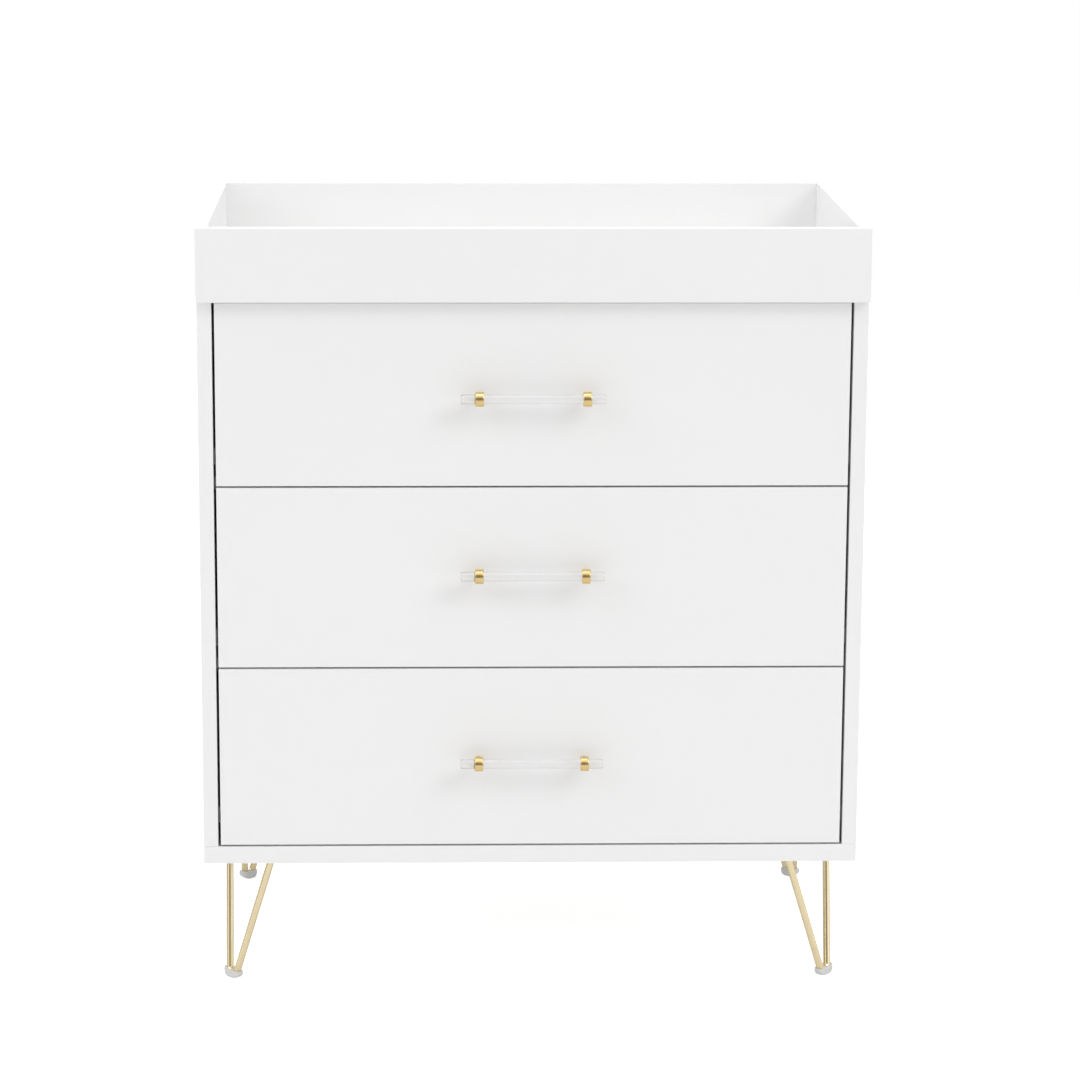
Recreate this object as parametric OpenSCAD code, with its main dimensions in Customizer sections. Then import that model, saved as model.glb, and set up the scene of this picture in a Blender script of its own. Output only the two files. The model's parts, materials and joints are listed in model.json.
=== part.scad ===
// Nursery changing dresser: three full-width drawers on hairpin legs, with a
// changing tray that wraps over the top. Millimetres, +Z up, the front faces -Y.
// The origin is on the floor, at the centre of the outline seen from above.

/* [Overall] */
// Width over the side panels
body_w = 855; // [760:1:950]
// Depth from the drawer fronts to the back
body_d = 500; // [450:1:560]
// Floor to the underside of the bottom panel
leg_h = 167; // [140:1:220]

/* [Boards] */
// Thickness of the side panels
side_t = 19; // [16:0.5:22]
// Thickness of the bottom panel
bottom_t = 23; // [18:0.5:28]
// Thickness of the top panel
top_t = 15; // [12:0.5:22]
// Thickness of the thin back panel
back_t = 4; // [3:0.5:6]
// Width of the rebate that takes the back panel
rebate_w = 9.5; // [6:0.5:12]

/* [Drawers] */
// Height of a drawer front
front_h = 236.7; // [200:0.1:260]
// Thickness of a drawer front
front_t = 18; // [16:0.5:22]
// Gap above and below a drawer front
gap_h = 2.4; // [1.5:0.1:4]
// Gap at each end of a drawer front
gap_side = 3.4; // [2:0.1:5]
// Length of a drawer box behind its front
box_l = 430; // [380:1:440]
// Height of a drawer box
box_h = 165; // [120:1:180]
// Thickness of the drawer sides and back
box_t = 12; // [10:0.5:15]
// Thickness of the drawer bottom
floor_t = 4; // [3:0.5:6]

/* [Tray] */
// Height of the tray walls
tray_h = 95; // [70:1:120]
// Thickness of the tray walls
tray_t = 15; // [12:0.5:18]

/* [Handles] */
// Distance between a handle's two posts
post_span = 137; // [96:1:192]
// Length of the clear bar
bar_l = 184; // [150:1:240]
// Diameter of the clear bar
bar_d = 12; // [10:0.5:14]
// Outside diameter of a collar
collar_d = 19; // [17:0.5:22]
// Length of a collar along the bar
collar_l = 11; // [10:0.5:16]
// Drawer front to the bar's centre line
bar_reach = 24.5; // [20:0.5:32]

/* [Legs] */
// Diameter of the leg rod
rod_d = 9.5; // [8:0.5:12]
// Radius of the bend at the foot, at the rod's centre line
bend_r = 8; // [6:0.5:9]
// Thickness of the mounting plate
plate_t = 3; // [2:0.5:5]

/* [Hidden] */
$fn = 64;
SIDES = [-1, 1];
NAMES = ["bottom", "middle", "top"];

// What stands out in front of the drawer fronts and behind the back panel
strip_t = 2;
strip_head_t = 1.8;
front_out = bar_reach + collar_d / 2;
back_out = strip_t + strip_head_t;

// The drawer fronts' plane, and the levels of the case
front_y = front_out - (front_out + body_d + back_out) / 2;
back_y = front_y + body_d;
bottom_z = leg_h + bottom_t;
pitch = front_h + gap_h;
top_z = bottom_z + 3 * pitch + gap_h;
tray_z = top_z + top_t;
inner_w = body_w - 2 * side_t;
front_w = inner_w - 2 * gap_side;

// Drawer boxes
slot_w = 12.5;                      // room for the runners at each side
box_w = inner_w - 2 * slot_w;
box_lift = 29;                      // front's lower edge to the box's lower edge
floor_up = 10;                      // box's lower edge to the underside of its floor
groove = 6;                         // depth of the grooves that hold the floor
HANDLE_UP = [115.5, 125.5, 117];    // bar's height above each front's lower edge

// Runners, measured from the box's lower edge
run_l = 400;
sheet = 1.2;
chan_z = -4.2;
chan_h = 21.8;
chan_w = 9.2;
roller_d = 18;
roller_w = 7;
roller_gap = 0.1;                   // play between a roller and its track
roller_out = 2.2;                   // web to the roller's side face
axle_d = 4;
play = 0.05;                        // clearance round axles, bars and leg screws
front_axle = [30, 10.3];            // behind the fronts, above the box's lower edge
rear_axle = [385, 6.1];
flange_z = front_axle[1] + roller_d / 2 + roller_gap;

// Rails between the drawers
rail_d = 60;
rail_t = 16;
rail_back = 26;

// Dowels
dowel_d = 8;
dowel_l = 30;
DOWEL_Y = [60, 250, 440];

// Legs: distances are from the side and from the front or back edge
FOOT = 36;
ROD_IN = 29.5;
ROD_OUT = 87;
plate_in = 20;
plate_l = 84;
plate_cut = 46;
SCREWS = [[34, 34], [34, 62], [62, 34], [58, 58]];
leg_screw_d = 4.5;
leg_screw_l = 18;

// Foot caps
cap_l = 30.5;
cap_t = 13;
cap_h = 10.5;
cap_cut = 1;
cap_slant = 6;                      // outer end up, inner end down
cap_out = 0.8;                      // towards the corner, under the leaning bend
bend_z = cap_l / 2 - cap_cut;

// Strips that hold the tray at the back
strip_w = 20;
strip_h = 56;
STRIP_X = [-300, 300];
strip_z = tray_z - 13;
strip_screw_d = 4;

// Helpers

module board(from, to) {
    translate(from) cube(to - from);
}

module rod_x(length, d) {
    rotate([0, 90, 0]) cylinder(d = d, h = length, center = true);
}

module rod_y(length, d) {
    rotate([-90, 0, 0]) cylinder(d = d, h = length);
}

function front_z(i) = bottom_z + gap_h + i * pitch;
function box_z(i) = front_z(i) + box_lift;

// Case

module side_panel(s) {
    color("white") difference() {
        board([s < 0 ? -body_w / 2 : inner_w / 2, front_y, bottom_z],
              [s < 0 ? -inner_w / 2 : body_w / 2, back_y, top_z]);
        back_panel();
        panel_dowels();
    }
}

module bottom_panel() {
    color("white") difference() {
        board([-body_w / 2, front_y, leg_h], [body_w / 2, back_y, bottom_z]);
        panel_dowels();
        leg_screws();
    }
}

module top_panel() {
    color("white") difference() {
        board([-body_w / 2, front_y, top_z], [body_w / 2, back_y, tray_z]);
        panel_dowels();
        tray_strip_screws();
    }
}

module back_panel() {
    color("gainsboro") board([-inner_w / 2 - rebate_w, back_y - back_t, bottom_z],
                             [inner_w / 2 + rebate_w, back_y, top_z]);
}

// A rail behind the gap under drawer i
module drawer_rail(i) {
    z = front_z(i) - gap_h / 2;
    color("white") difference() {
        board([-inner_w / 2, front_y + rail_back, z - rail_t / 2],
              [inner_w / 2, front_y + rail_back + rail_d, z + rail_t / 2]);
        panel_dowels();
    }
}

// Dowels between the sides and the boards they meet
module panel_dowels() {
    x = inner_w / 2 + side_t / 2;
    color("burlywood") {
        for (s = SIDES, y = DOWEL_Y) {
            translate([s * x, front_y + y, bottom_z - dowel_l / 2 + 2])
                cylinder(d = dowel_d, h = dowel_l);
            translate([s * x, front_y + y, top_z - dowel_l + 9])
                cylinder(d = dowel_d, h = dowel_l);
        }
        for (s = SIDES, i = [1, 2], y = [15, 45])
            translate([s * (inner_w / 2 - 3), front_y + rail_back + y, front_z(i) - gap_h / 2])
                rod_x(dowel_l, dowel_d);
    }
}

// Tray

module tray_front_wall() {
    color("white") board([-body_w / 2, front_y - tray_t, top_z],
                         [body_w / 2, front_y, top_z + tray_h]);
}

module tray_back_wall() {
    color("white") difference() {
        board([-body_w / 2, back_y - tray_t, tray_z], [body_w / 2, back_y, top_z + tray_h]);
        tray_strip_screws();
    }
}

module tray_side_wall(s) {
    color("white") board([s < 0 ? -body_w / 2 : body_w / 2 - tray_t, front_y, tray_z],
                         [s < 0 ? tray_t - body_w / 2 : body_w / 2, back_y - tray_t, top_z + tray_h]);
}

// Steel strips across the joint between the tray's back wall and the top panel
module tray_strips() {
    color("silver") difference() {
        for (x = STRIP_X)
            translate([x - strip_w / 2, back_y, strip_z]) cube([strip_w, strip_t, strip_h]);
        tray_strip_screws();
    }
}

module tray_strip_screws() {
    color("silver") for (x = STRIP_X, z = [strip_z + 6, strip_z + 26, strip_z + 46])
        translate([x, back_y + strip_t, z]) {
            rotate([90, 0, 0]) cylinder(d = strip_screw_d, h = 13 + strip_t);
            rod_y(strip_head_t, 2 * strip_screw_d);
        }
}

// Legs. place_leg() puts a leg that is drawn for the corner at [0, 0], with X and Y
// measured inwards from the side and from the front edge, under corner [sx, sy].

module place_leg(sx, sy) {
    translate([sx * body_w / 2, sy < 0 ? front_y : back_y, 0])
        mirror([sx < 0 ? 0 : 1, 0, 0]) mirror([0, sy < 0 ? 0 : 1, 0]) children();
}

// The rods' plane: its x runs across the corner, its y leans up from the foot
half_top = (ROD_OUT - ROD_IN) / sqrt(2);
lean_run = sqrt(2) * ((ROD_IN + ROD_OUT) / 2 - FOOT);
lean_rise = leg_h - plate_t - bend_z;
lean = atan2(lean_run, lean_rise);
rise = sqrt(lean_run * lean_run + lean_rise * lean_rise);
reach = sqrt(half_top * half_top + rise * rise);
splay = atan2(half_top, rise) - asin(bend_r / reach);
rod_l = sqrt(reach * reach - bend_r * bend_r);

module in_rod_plane() {
    translate([FOOT, FOOT, bend_z]) rotate([0, 0, -45]) rotate([90 - lean, 0, 0]) children();
}

module hairpin() {
    in_rod_plane() {
        for (s = SIDES)
            mirror([s < 0 ? 1 : 0, 0, 0]) rotate([0, 0, -splay])
                translate([bend_r, 0, 0]) rod_y(rod_l + rod_d / 2, rod_d);
        rotate([0, 0, 180 + splay]) rotate_extrude(angle = 180 - 2 * splay)
            translate([bend_r, 0]) circle(d = rod_d);
    }
}

module leg_plate() {
    translate([plate_in, plate_in, leg_h - plate_t]) linear_extrude(plate_t)
        polygon([[0, 0], [plate_l, 0], [plate_l, plate_l - plate_cut],
                 [plate_l - plate_cut, plate_l], [0, plate_l]]);
}

module leg(sx, sy) {
    color("gold") difference() {
        place_leg(sx, sy) intersection() {
            union() {
                hairpin();
                leg_plate();
            }
            cube([2 * ROD_OUT, 2 * ROD_OUT, leg_h]);
        }
        leg_screws(play);
    }
}

module leg_screws(clearance = 0) {
    color("silver") for (sx = SIDES, sy = SIDES) place_leg(sx, sy)
        for (p = SCREWS) translate([p[0], p[1], leg_h - plate_t]) {
            cylinder(d = leg_screw_d + 2 * clearance, h = leg_screw_l);
            translate([0, 0, -2.2]) cylinder(d = 2 * leg_screw_d, h = 2.2);
        }
}

// A plastic cap over the bend, flat where it meets the floor
module foot(sx, sy) {
    color("whitesmoke") place_leg(sx, sy) difference() {
        translate([FOOT, FOOT, 0]) rotate([0, 0, -45]) translate([0, -cap_out, 0]) intersection() {
            translate([0, 0, bend_z]) rotate([90, 0, 0]) union() {
                cylinder(d = cap_l, h = cap_t, center = true);
                translate([-cap_l / 2, 0, -cap_t / 2]) cube([cap_l, bend_z, cap_t]);
            }
            translate([0, 0, bend_z]) rotate([0, cap_slant, 0]) translate([0, 0, -bend_z - 4]) {
                translate([(cap_t - cap_l) / 2, -cap_t / 2, 0]) cube([cap_l - cap_t, cap_t, cap_h + 4]);
                for (s = SIDES) translate([s * (cap_l - cap_t) / 2, 0, 0])
                    cylinder(d = cap_t, h = cap_h + 4);
            }
            translate([-cap_l, -cap_t, 0]) cube([2 * cap_l, 2 * cap_t, bend_z]);
        }
        hairpin();
    }
}

// Runners. Everything is drawn at the left side of drawer i and mirrored for the right.

module both_sides() {
    for (s = SIDES) mirror([s < 0 ? 0 : 1, 0, 0]) children();
}

module roller(x, axle, i) {
    translate([x + roller_w / 2, front_y + axle[0], box_z(i) + axle[1]]) difference() {
        rod_x(roller_w, roller_d);
        rod_x(roller_w + 2, axle_d + 2 * play);
    }
}

case_web_x = -inner_w / 2;
drawer_web_x = -box_w / 2;
case_roller_x = case_web_x + sheet + roller_out - 1;
drawer_roller_x = drawer_web_x - sheet - roller_out + 1 - roller_w;

// Channel on the case, with the axle of the roller at its front end
module case_runners(i) {
    y = front_y + front_t + 2;
    cut = front_axle[0] - front_t - 2 + roller_d / 2 + 4;
    color("white") both_sides() {
        translate([case_web_x, y, box_z(i) + chan_z]) {
            cube([sheet, run_l, chan_h]);
            cube([chan_w, run_l, sheet]);
            translate([0, cut, chan_h - sheet]) cube([chan_w, run_l - cut, sheet]);
        }
        translate([case_web_x + sheet, front_y + front_axle[0], box_z(i) + front_axle[1]])
            rotate([0, 90, 0]) {
                cylinder(d = axle_d + 3, h = roller_out - 1 - 0.2);
                cylinder(d = axle_d, h = roller_out - 1 + roller_w + 0.4);
            }
    }
}

module case_rollers(i) {
    color("white") both_sides() roller(case_roller_x, front_axle, i);
}

// Angle under the drawer side, with a flange that runs on the case's roller
module drawer_runners(i) {
    y = front_y + front_t;
    color("white") both_sides() {
        translate([drawer_web_x - sheet, y, box_z(i) - sheet]) {
            cube([sheet, run_l - 15, flange_z + 2 * sheet]);
            cube([sheet + 9, run_l - 15, sheet]);
        }
        translate([drawer_web_x - sheet - chan_w + 1, y, box_z(i) + flange_z])
            cube([chan_w - 1, run_l - 15, sheet]);
        translate([drawer_web_x - sheet, front_y + rear_axle[0], box_z(i) + rear_axle[1]])
            rotate([0, -90, 0]) {
                cylinder(d = axle_d + 3, h = roller_out - 1 - 0.2);
                cylinder(d = axle_d, h = roller_out - 1 + roller_w + 0.4);
            }
    }
}

module drawer_rollers(i) {
    color("white") both_sides() roller(drawer_roller_x, rear_axle, i);
}

// Drawers, counted from the bottom

module drawer_front(i) {
    z = front_z(i);
    color("white") difference() {
        board([-front_w / 2, front_y, z], [front_w / 2, front_y + front_t, z + front_h]);
        handle_screws(i);
    }
}

module drawer_floor(i) {
    z = box_z(i) + floor_up;
    x = box_w / 2 - box_t + groove;
    color("wheat") board([-x, front_y + front_t, z],
                         [x, front_y + front_t + box_l - box_t + groove, z + floor_t]);
}

module drawer_side(i, s) {
    color("burlywood") difference() {
        board([s < 0 ? -box_w / 2 : box_w / 2 - box_t, front_y + front_t, box_z(i)],
              [s < 0 ? box_t - box_w / 2 : box_w / 2, front_y + front_t + box_l, box_z(i) + box_h]);
        drawer_floor(i);
    }
}

module drawer_back(i) {
    y = front_y + front_t + box_l;
    x = box_w / 2 - box_t;
    color("burlywood") difference() {
        board([-x, y - box_t, box_z(i)], [x, y, box_z(i) + box_h]);
        drawer_floor(i);
    }
}

// Handles

module at_handle(i) {
    translate([0, front_y - bar_reach, front_z(i) + HANDLE_UP[i]]) children();
}

module handle_bar(i) {
    color("lightcyan") at_handle(i) rod_x(bar_l, bar_d);
}

module handle_posts(i) {
    post_d = 8;
    color("gold") difference() {
        at_handle(i) for (s = SIDES) translate([s * post_span / 2, 0, 0]) difference() {
            union() {
                rod_x(collar_l, collar_d);
                rod_y(bar_reach, post_d);
            }
            rod_x(2 * collar_l, bar_d + 2 * play);
        }
        handle_screws(i);
    }
}

// Machine screws from inside the drawer front into the posts
module handle_screws(i) {
    screw_d = 4;
    head_t = 2.4;
    bite = 9;
    color("silver") at_handle(i) for (s = SIDES)
        translate([s * post_span / 2, bar_reach - bite, 0]) {
            rod_y(bite + front_t, screw_d);
            translate([0, bite + front_t, 0]) rod_y(head_t, 2 * screw_d);
        }
}

side_panel(-1);  // side_panel_left
side_panel(1);  // side_panel_right
bottom_panel();
top_panel();
back_panel();
drawer_rail(1);  // lower_drawer_rail
drawer_rail(2);  // upper_drawer_rail
panel_dowels();
tray_front_wall();
tray_back_wall();
tray_side_wall(-1);  // tray_left_wall
tray_side_wall(1);  // tray_right_wall
tray_strips();
tray_strip_screws();
leg(-1, -1);  // leg_front_left
leg(1, -1);  // leg_front_right
leg(-1, 1);  // leg_back_left
leg(1, 1);  // leg_back_right
foot(-1, -1);  // foot_front_left
foot(1, -1);  // foot_front_right
foot(-1, 1);  // foot_back_left
foot(1, 1);  // foot_back_right
leg_screws();
for (i = [0:2]) {
    n = NAMES[i];
    case_runners(i);
    case_rollers(i);
    drawer_front(i);
    drawer_side(i, -1);
    drawer_side(i, 1);
    drawer_back(i);
    drawer_floor(i);
    drawer_runners(i);
    drawer_rollers(i);
    handle_bar(i);
    handle_posts(i);
    handle_screws(i);
}
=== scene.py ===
"""Nursery changing dresser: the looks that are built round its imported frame."""

import json
import math

import bmesh
import bpy
from bpy.props import FloatProperty, FloatVectorProperty, IntProperty, PointerProperty
from bpy.types import Operator, Panel, PropertyGroup
from mathutils import Matrix, Vector


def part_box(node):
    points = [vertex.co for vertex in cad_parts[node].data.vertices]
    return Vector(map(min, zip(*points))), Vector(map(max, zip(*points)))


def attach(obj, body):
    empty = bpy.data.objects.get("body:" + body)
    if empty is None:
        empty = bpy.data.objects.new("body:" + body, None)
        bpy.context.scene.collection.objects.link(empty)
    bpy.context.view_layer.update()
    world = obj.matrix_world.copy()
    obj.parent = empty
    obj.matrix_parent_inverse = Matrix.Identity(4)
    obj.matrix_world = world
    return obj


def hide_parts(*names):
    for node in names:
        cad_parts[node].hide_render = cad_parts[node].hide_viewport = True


bl_info = {
    "name": "Nursery Changing Dresser",
    "version": (1, 0, 0),
    "blender": (4, 5, 0),
    "location": "View3D > Sidebar > Dresser",
    "description": "Builds a changing dresser with a tray, three drawers and hairpin legs",
    "category": "Add Mesh",
}

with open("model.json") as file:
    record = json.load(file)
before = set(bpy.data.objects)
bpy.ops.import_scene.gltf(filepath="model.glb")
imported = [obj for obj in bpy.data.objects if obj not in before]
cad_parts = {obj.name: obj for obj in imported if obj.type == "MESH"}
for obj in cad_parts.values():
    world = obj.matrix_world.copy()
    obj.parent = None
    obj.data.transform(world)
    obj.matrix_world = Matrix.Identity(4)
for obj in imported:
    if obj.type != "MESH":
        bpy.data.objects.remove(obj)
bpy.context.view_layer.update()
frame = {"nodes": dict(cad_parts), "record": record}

MM = 0.001
BODIES = frame["record"]["behaviour"]["bodies"]
BODY_OF = {node: body for body, nodes in BODIES.items() for node in nodes}
LEVELS = ("bottom", "middle", "top")
CORNERS = tuple(f"{end}_{side}" for end in ("front", "back") for side in ("left", "right"))
X, Y, Z = Vector((1, 0, 0)), Vector((0, 1, 0)), Vector((0, 0, 1))


# Settings


def length(name, description, default_mm):
    """A length property, with its default given in millimetres."""
    return FloatProperty(
        name=name, description=description, default=default_mm * MM, min=0.0,
        precision=5, unit="LENGTH",
    )


def colour(name, description, default):
    """A colour property, in linear red, green and blue."""
    return FloatVectorProperty(
        name=name, description=description, default=default, size=3, min=0.0, max=1.0,
        subtype="COLOR",
    )


def share(name, description, default):
    """A property from 0 to 1."""
    return FloatProperty(
        name=name, description=description, default=default, min=0.0, max=1.0,
        subtype="FACTOR",
    )


def number(name, description, default):
    return FloatProperty(name=name, description=description, default=default)


def power(name, description, watts):
    return FloatProperty(name=name, description=description, default=watts, unit="POWER")


def rotation(name, description, radians):
    return FloatProperty(name=name, description=description, default=radians, unit="ROTATION")


class DresserBoardSettings(PropertyGroup):
    """The lacquered boards, the drawer boxes and the thin panels."""

    edge: length("Edge", "Radius of a lacquered board's eased edges", 0.9)
    rim_edge: length("Rim", "Radius of the tray walls' edges", 1.3)
    ply_edge: length("Ply Edge", "Radius of the drawer boxes' edges", 1.0)
    thin_edge: length("Thin Edge", "Radius of the thin panels' edges", 0.3)
    lacquer: colour("Lacquer", "Colour of the lacquered boards", (0.89, 0.89, 0.888))
    gloss: share("Roughness", "Roughness of the lacquer", 0.36)
    birch: colour("Birch", "Colour of the drawer boxes' face veneer", (0.80, 0.64, 0.44))
    ply_dark: colour("Glue Lines", "Colour of the dark plies", (0.50, 0.33, 0.18))
    thin: colour("Thin Panel", "Colour of the back and the drawer floors", (0.74, 0.73, 0.70))
    nail_pitch: length("Nail Pitch", "Distance between the back panel's nails", 95)
    nail_size: length("Nail Head", "Diameter of a nail's head", 4.2)
    nail_rise: length("Nail Rise", "Height of a nail's head", 0.6)
    nail_edge: length("Nail Edge", "Radius of a nail head's rim", 0.3)


class DresserHandleSettings(PropertyGroup):
    """The clear bars and their brass collars and posts."""

    bar_bevel: length("Bar Bevel", "Bevel at the ends of a bar", 0.9)
    collar_bevel: length("Collar Bevel", "Bevel at the edges of a collar", 0.8)
    play: length("Play", "Clearance between a bar and its collars", 0.03)
    post: length("Post", "Diameter of a post", 8)
    post_bevel: length("Post Bevel", "Bevel at a post's base", 0.3)
    brass: colour("Brass", "Colour of the collars", (0.77, 0.57, 0.26))
    polish: share("Roughness", "Roughness of the collars", 0.18)
    clear: colour("Acrylic", "Tint of the clear bars", (0.985, 0.988, 0.988))


class DresserLegSettings(PropertyGroup):
    """The hairpin legs and their caps."""

    rod: length("Rod", "Diameter of the leg rod", 9.5)
    bend: length("Bend", "Radius of the bend at the foot, at the rod's centre", 8)
    near: length("Near Inset", "From an edge of the case to the nearer rod's top", 29.5)
    far: length("Far Inset", "From an edge of the case to the farther rod's top", 87)
    plate_t: length("Plate", "Thickness of the mounting plate", 3)
    plate_cut: length("Plate Corner", "Length cut from the plate's inner corner", 46)
    plate_edge: length("Plate Edge", "Radius of the plate's edges", 0.5)
    foot: length("Foot Inset", "From an edge of the case to the middle of the bend", 36)
    bend_rise: length("Bend Rise", "Height of the bend's centre over the floor", 14.25)
    gold: colour("Gold", "Colour of the legs", (0.82, 0.695, 0.45))
    satin: share("Roughness", "Roughness of the legs", 0.17)
    cap_edge: length("Cap Edge", "Radius of the foot caps' edges", 0.8)
    cap: colour("Cap", "Colour of the foot caps", (0.72, 0.72, 0.715))


class DresserRunnerSettings(PropertyGroup):
    """The runners, the rollers and every screw."""

    paint: colour("Runner Paint", "Colour of the runners' coating", (0.80, 0.80, 0.78))
    nylon: colour("Roller", "Colour of the rollers", (0.86, 0.86, 0.82))
    zinc: colour("Zinc", "Colour of the screws and strips", (0.66, 0.67, 0.68))
    rim_round: length("Roller Rim", "Bevel of a roller's rims", 0.9)
    recess: length("Recess", "Depth of the dish in a roller's sides", 0.8)
    bore: length("Roller Bore", "Radius of a roller's bore", 2.05)
    hub_wall: length("Hub", "Thickness of a roller's hub", 1.6)
    rim_wall: length("Rim", "Thickness of a roller's rim", 2.4)
    web: length("Web", "Thickness of a runner's sheet steel", 1.2)
    under_box: length("Flange", "How far a drawer runner reaches under the box", 10.2)
    case_rise: length("Case Screw Rise", "Bottom of a case runner to its screws", 9.5)
    drawer_drop: length("Drawer Screw Drop", "Top of a drawer runner to its screws", 5.5)
    first: length("First Screw", "Front end of a runner to its first screw", 45)
    last: length("Last Screw", "Back end of a runner to its last screw", 60)
    screws: IntProperty(name="Screws", description="Screws in each runner", default=3, min=2)
    screw_head: length("Screw Head", "Diameter of a runner screw's head", 7)
    screw_rise: length("Screw Rise", "Height of a runner screw's head", 1)
    screw_shank: length("Screw Shank", "Radius of a runner screw's shank", 1.6)
    screw_deep: length("Screw Length", "Length of a runner screw behind the web", 2)
    leg_rise: length("Leg Screw Rise", "Height of a leg screw's head", 2.2)
    handle_rise: length("Handle Screw Rise", "Height of a handle screw's head", 2.4)
    strip_rise: length("Strip Screw Rise", "Height of a tray strip screw's head", 1.8)
    strip_edge: length("Strip Edge", "Radius of the tray strips' edges", 0.5)


class DresserStageSettings(PropertyGroup):
    """The floor, the lights and the camera."""

    floor: colour("Floor", "Colour of the floor", (0.92, 0.92, 0.92))
    floor_drop: length("Floor Drop", "From the feet down to the floor", 0.2)
    glow: number("Floor Glow", "Light added to the floor as seen", 0.5)
    sky: number("Sky", "Strength of the white surroundings", 0.645)
    shine: number("Shine", "Surroundings as seen in reflections", 1.25)
    flag: number("Flag", "Dark sides of the room as seen in reflections", 0.28)
    key_power: power("Key Light", "Power of the key light", 155.0)
    key_size: length("Key Size", "Width of the key light", 3200)
    fill_power: power("Fill Light", "Power of the fill light", 115.0)
    fill_size: length("Fill Size", "Width of the fill light", 5000)
    top_power: power("Top Light", "Power of the light over the tray", 27.0)
    top_size: length("Top Size", "Width of the light over the tray", 1800)
    lens: number("Lens", "Focal length in millimetres", 117.86)
    distance: length("Distance", "From the drawer fronts to the camera", 4441.2)
    aside: length("Aside", "How far the camera stands left of the middle", 151.3)
    height: length("Height", "Height of the camera", 1571.0)
    turn: rotation("Turn", "Turn to the right", 0.02468)
    tilt: rotation("Tilt", "Tilt downwards", 0.20394)
    roll: rotation("Roll", "Roll of the camera", 0.00327)
    shift: number("Shift", "Shift of the lens, right and down", 0.037)


class DresserSettings(PropertyGroup):
    """All the sizes and colours of the dresser."""

    boards: PointerProperty(type=DresserBoardSettings)
    handles: PointerProperty(type=DresserHandleSettings)
    legs: PointerProperty(type=DresserLegSettings)
    runners: PointerProperty(type=DresserRunnerSettings)
    stage: PointerProperty(type=DresserStageSettings)


# Materials


class Shader:
    """A new node material with one Principled shader, and short ways to wire it."""

    def __init__(self, name, base, roughness, metallic=0.0, **sockets):
        self.material = bpy.data.materials.new(name)
        self.material.use_nodes = True
        self.tree = self.material.node_tree
        self.shader = self.tree.nodes["Principled BSDF"]
        sockets.update({"Base Color": (*base, 1), "Roughness": roughness, "Metallic": metallic})
        for socket, value in sockets.items():
            self.shader.inputs[socket].default_value = value

    def node(self, kind, inputs=None, **settings):
        """A node with its attributes set, and with its inputs set or wired."""
        made = self.tree.nodes.new(kind)
        for key, value in settings.items():
            setattr(made, key, value)
        for key, value in (inputs or {}).items():
            if isinstance(value, bpy.types.NodeSocket):
                self.tree.links.new(value, made.inputs[key])
            else:
                made.inputs[key].default_value = value
        return made

    def link(self, output, socket):
        self.tree.links.new(output, self.shader.inputs[socket])

    def place(self, scale=(1, 1, 1)):
        """Object coordinates, scaled."""
        at = self.node("ShaderNodeTexCoord").outputs["Object"]
        return self.node("ShaderNodeMapping", {"Vector": at, "Scale": scale}).outputs["Vector"]

    def noise(self, at, scale, detail=3.0, rough=0.5):
        inputs = {"Vector": at, "Scale": scale, "Detail": detail, "Roughness": rough}
        return self.node("ShaderNodeTexNoise", inputs).outputs["Fac"]

    def ramp(self, value, stops):
        """A colour ramp; stops are (position, colour)."""
        ramp = self.node("ShaderNodeValToRGB", {"Fac": value})
        elements = ramp.color_ramp.elements
        while len(elements) < len(stops):
            elements.new(0.5)
        for element, (position, tone) in zip(elements, stops):
            element.position = position
            element.color = (*tone, 1)
        return ramp.outputs["Color"]

    def spread(self, value, low, high):
        """Maps 0..1 to low..high."""
        inputs = {"Value": value, "To Min": low, "To Max": high}
        return self.node("ShaderNodeMapRange", inputs).outputs["Result"]

    def multiply(self, fac, a, b):
        """Colour a, multiplied by colour b as far as fac says."""
        mix = self.node("ShaderNodeMix", data_type="RGBA", blend_type="MULTIPLY")
        for key, value in ((0, fac), (6, a), (7, b)):
            if isinstance(value, bpy.types.NodeSocket):
                self.tree.links.new(value, mix.inputs[key])
            else:
                mix.inputs[key].default_value = value if key == 0 else (*value, 1)
        return mix.outputs[2]

    def math(self, operation, a, b=0.0, c=0.0):
        node = self.node("ShaderNodeMath", operation=operation)
        for key, value in enumerate((a, b, c)):
            if isinstance(value, bpy.types.NodeSocket):
                self.tree.links.new(value, node.inputs[key])
            else:
                node.inputs[key].default_value = value
        return node.outputs["Value"]

    def bump(self, height, depth, strength=1.0):
        inputs = {"Height": height, "Distance": depth, "Strength": strength}
        self.link(self.node("ShaderNodeBump", inputs).outputs["Normal"], "Normal")


def tint(base, factor):
    """A colour made darker or lighter."""
    return tuple(min(1.0, channel * factor) for channel in base)


def lacquer(name, base, roughness):
    """Sprayed satin lacquer: a fine orange peel and a faint unevenness of gloss and tone."""
    paint = Shader(name, base, roughness)
    at = paint.place()
    cloud = paint.noise(at, 3.2, detail=2.0)
    paint.link(paint.ramp(cloud, ((0.3, tint(base, 0.992)), (0.7, base))), "Base Color")
    patch = paint.noise(at, 38.0, detail=4.0)
    paint.link(paint.spread(patch, roughness - 0.035, roughness + 0.035), "Roughness")
    paint.bump(paint.noise(at, 720.0, detail=2.0), 0.00005, 0.35)
    return paint.material


def thin_board(name, base):
    """Smooth-faced hardboard: slightly mottled, with a faint fibre."""
    board = Shader(name, base, 0.52)
    at = board.place()
    mottle = board.noise(at, 26.0, detail=6.0, rough=0.62)
    board.link(board.ramp(mottle, ((0.25, tint(base, 0.965)), (0.75, base))), "Base Color")
    fibre = board.noise(board.place((1.0, 1.0, 0.25)), 900.0, detail=3.0)
    board.link(board.spread(fibre, 0.46, 0.60), "Roughness")
    board.bump(fibre, 0.00006, 0.4)
    return board.material


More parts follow.
